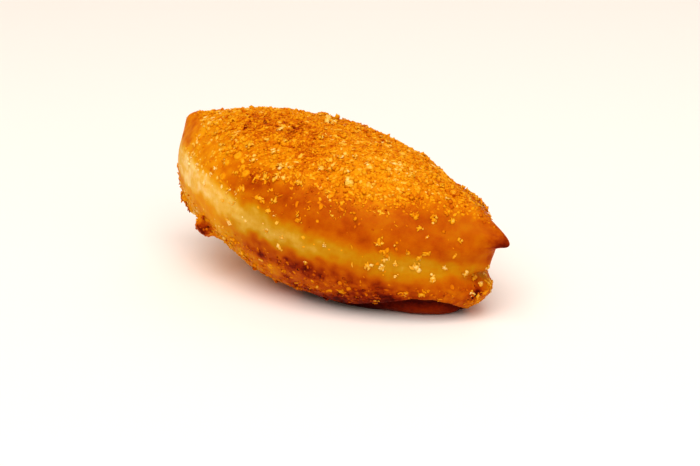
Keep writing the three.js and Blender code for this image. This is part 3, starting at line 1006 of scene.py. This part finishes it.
# Fried wheat from pale to burnt: the skin turns amber, the drier crumbs stay brighter
doughStops = [
    (0.0, "#dcbe64"), (0.1, "#d6b156"), (0.2, "#ca9b34"), (0.3, "#be8712"), (0.4, "#bb7904"),
    (0.5, "#bb6902"), (0.6, "#b65701"), (0.7, "#ab4701"), (0.8, "#953301"), (0.9, "#721801"),
    (1.0, "#360200")]
crumbStops = [
    (0.0, "#f4d48c"), (0.14, "#e9b244"), (0.3, "#e19a0f"), (0.45, "#dc8604"), (0.6, "#cc6a02"),
    (0.75, "#b34a01"), (0.88, "#882401"), (1.0, "#440601")]


def attributeNode(tree, name):
    return addNode(tree, "ShaderNodeAttribute", attribute_name=name).outputs["Fac"]


# Chance pattern with spots of the given size in mm
def noiseNode(tree, size, detail, roughness=0.5):
    place = addNode(tree, "ShaderNodeTexCoord").outputs["Object"]
    values = {"Scale": 1 / (size * mm), "Detail": detail, "Roughness": roughness}
    return addNode(tree, "ShaderNodeTexNoise", values, {"Vector": place}).outputs["Fac"]


# first times second plus third, where each is a number or the output of a node
def blendNode(tree, first, second, third):
    parts = dict(enumerate((first, second, third)))
    values = {socket: part for socket, part in parts.items() if isinstance(part, (int, float))}
    links = {socket: part for socket, part in parts.items() if socket not in values}
    return addNode(tree, "ShaderNodeMath", values, links, operation="MULTIPLY_ADD").outputs[0]


def rampNode(tree, level, stops):
    colour = addNode(tree, "ShaderNodeValToRGB", links={"Fac": level})
    setRamp(colour.color_ramp, stops)
    return colour.outputs["Color"]


# Patterns with spots of a size in mm, and how much browner each makes the skin
doughLook = {
    "mottle": {"size": 7, "detail": 4, "roughness": 0.6}, "mottled": 0.14,
    "freckle": {"size": 1.0, "detail": 3, "roughness": 0.7}, "freckleMiddle": 0.57,
    "freckled": {"To Min": 0.14, "To Max": 0.34},  # faint on bare skin and strong between the crumbs
    "speck": {"size": 1.6, "detail": 2},
    "specked": {"From Min": 0.54, "From Max": 0.66, "To Max": 0.36},  # burnt, where the crown is toasted
    "paler": 0.07,
    "bump": {"Strength": 0.3, "Distance": 0.25 * mm},
    "skin": {"Roughness": 0.45, "Subsurface Weight": 0.2, "Subsurface Radius": (1.0, 0.35, 0.05),
             "Subsurface Scale": 2.5 * mm},
}
crumbLook = {"pores": {"size": 0.8, "detail": 3}, "porous": 0.3, "paler": 0.15, "skin": {"Roughness": 0.5}}
oily = {"IOR": 1.45, "Specular IOR Level": 0.015}


# Dough that was deep-fried: a thin oily amber skin, pale and soft where it floated above the oil
def doughMaterial():
    material, tree = newMaterial("deep-fried wheat dough")
    mottle, freckle, speck = (noiseNode(tree, **doughLook[name]) for name in ("mottle", "freckle", "speck"))
    # the tone attribute holds browning together with painted shade in the fold, under the belly and between
    # the grains
    brownedAndShaded, crumbed, toasted, bright = (attributeNode(tree, name)
                                         for name in ("brownedAndShaded", "crumbed", "toasted", "bright"))
    blotch = blendNode(tree, mottle, doughLook["mottled"], brownedAndShaded)
    freckled = addNode(tree, "ShaderNodeMapRange", doughLook["freckled"], {"Value": crumbed}).outputs[0]
    grain = blendNode(tree, blendNode(tree, freckle, 1.0, -doughLook["freckleMiddle"]), freckled, blotch)
    specked = addNode(tree, "ShaderNodeMapRange", doughLook["specked"], {"Value": speck}).outputs[0]
    level = blendNode(tree, blendNode(tree, specked, toasted, grain), 1.0, -doughLook["paler"])
    # the mat is crumbs fused to the skin, so it has their colours
    skinColour, matColour = (rampNode(tree, level, stops) for stops in (doughStops, crumbStops))
    colour = addNode(tree, "ShaderNodeMix", links={0: bright, 6: skinColour, 7: matColour}, data_type="RGBA")
    bump = addNode(tree, "ShaderNodeBump", doughLook["bump"], {"Height": freckle})
    shader = addNode(tree, "ShaderNodeBsdfPrincipled", {**doughLook["skin"], **oily},
                     {"Base Color": colour.outputs[2], "Normal": bump.outputs["Normal"]})
    addNode(tree, "ShaderNodeOutputMaterial", links={"Surface": shader.outputs[0]})
    return material


# Breadcrumb fried in oil: porous and matt, from cream through amber to burnt
def crumbMaterial():
    material, tree = newMaterial("oil-fried breadcrumb")
    pores = noiseNode(tree, **crumbLook["pores"])
    shade = blendNode(tree, pores, crumbLook["porous"], attributeNode(tree, "brownedAndShaded"))
    level = blendNode(tree, shade, 1.0, -crumbLook["paler"])
    shader = addNode(tree, "ShaderNodeBsdfPrincipled", {**crumbLook["skin"], **oily},
                     {"Base Color": rampNode(tree, level, crumbStops)})
    addNode(tree, "ShaderNodeOutputMaterial", links={"Surface": shader.outputs[0]})
    return material


# Stage: camera, light and floor

view = {
    "photo": (700, 466),  # pixels
    "azimuth": math.radians(35.95),
    "elevation": math.radians(18.0),
    "distance": 521.7,  # mm from the middle of the bun
    "middle": (331.8, 203.5),  # where the middle of the bun lies in the photo
    "pixelsPerMm": 3.388,  # at the middle of the bun
    "sensor": 36.0,
    "stations": 401,  # points on the bun that find its middle
    "sides": 181,
}


def makeCamera():
    a, e = view["azimuth"], view["elevation"]
    back = Vector((math.sin(a) * math.cos(e), -math.cos(a) * math.cos(e), math.sin(e)))
    right = Vector((math.cos(a), math.sin(a), 0))
    up = back.cross(right)
    along = np.repeat(np.linspace(-1, 1, view["stations"]), view["sides"])
    around = np.tile(np.linspace(0, 2 * math.pi, view["sides"]), view["stations"])
    middle = Vector(-bunMiddle(leanOver(levelBun(along, around)))) * mm
    width, height = view["photo"]
    aside = (width / 2 - view["middle"][0]) / view["pixelsPerMm"]
    below = (height / 2 - view["middle"][1]) / view["pixelsPerMm"]
    target = middle + (right * aside - up * below) * mm
    data = bpy.data.cameras.new("camera")
    data.sensor_width = view["sensor"]
    data.lens = view["pixelsPerMm"] * view["distance"] * view["sensor"] / width
    data.clip_start = 0.01
    camera = bpy.data.objects.new("camera", data)
    camera.location = middle + back * view["distance"] * mm
    camera.rotation_euler = (target - camera.location).to_track_quat("-Z", "Y").to_euler()
    bpy.context.scene.collection.objects.link(camera)
    bpy.context.scene.camera = camera


lights = {
    "overhead": {"place": (0.36, -0.78, 1.55), "size": 1.8, "power": 38.0, "colour": "#f9faf7"},
    "back": {"place": (-0.25, 0.95, 1.1), "size": 1.0, "power": 2.4, "colour": "#f7fdff"},
    "fill": {"place": (0.9, -0.3, 0.45), "size": 0.8, "power": 1.7, "colour": "#fffaf4"},
}
world = {"colour": "#ffe4d0", "strength": 0.43}
table = {"colour": "#faf3ee", "roughness": 0.7, "specular": 0.1, "size": 3}


def makeLights():
    for name, plan in lights.items():
        data = bpy.data.lights.new(name, "AREA")
        data.size = plan["size"]
        data.energy = plan["power"]
        data.color = linear(plan["colour"])[:3]
        lamp = bpy.data.objects.new(name, data)
        lamp.location = plan["place"]
        lamp.rotation_euler = (-Vector(plan["place"])).to_track_quat("-Z", "Y").to_euler()
        bpy.context.scene.collection.objects.link(lamp)
    sky = bpy.data.worlds.new("studio")
    sky.use_nodes = True
    sky.node_tree.nodes["Background"].inputs["Color"].default_value = linear(world["colour"])
    sky.node_tree.nodes["Background"].inputs["Strength"].default_value = world["strength"]
    bpy.context.scene.world = sky
    bpy.context.scene.view_settings.view_transform = "Standard"


# White laminate table top, matt
def makeFloor():
    material, tree = newMaterial("white matt laminate")
    shader = addNode(tree, "ShaderNodeBsdfPrincipled",
                     {"Base Color": linear(table["colour"]), "Roughness": table["roughness"],
                      "Specular IOR Level": table["specular"]})
    addNode(tree, "ShaderNodeOutputMaterial", links={"Surface": shader.outputs[0]})
    bm = bmesh.new()
    bmesh.ops.create_grid(bm, x_segments=8, y_segments=8, size=table["size"])
    mesh = bpy.data.meshes.new("table")
    bm.to_mesh(mesh)
    bm.free()
    mesh.materials.append(material)
    floor = bpy.data.objects.new("table", mesh)
    bpy.context.scene.collection.objects.link(floor)


makeCamera()
makeLights()
makeFloor()
print("stage set")
bunPiece, bunPoints, bunZone = makeBun(doughMaterial())
print("bun", len(bunPiece.data.polygons), "faces")
skin = skinTriangles(bunPiece, bunPoints)
breadcrumb = crumbMaterial()
shares = crumbZones(bunZone)
for crumbName, crumbPlan in crumbs.items():
    makeCrumbs(crumbName, crumbPlan, skin, crumbDensity(crumbPlan, shares, bunZone), bunZone, breadcrumb)
spots = heapSpots()
makeHeaps("flakeHeaps", spots, skin, bunZone, breadcrumb)
makeScraps("paleScraps", spots, skin, bunZone, breadcrumb)
makeBubbles("filmBubbles", skin, bunZone, breadcrumb)
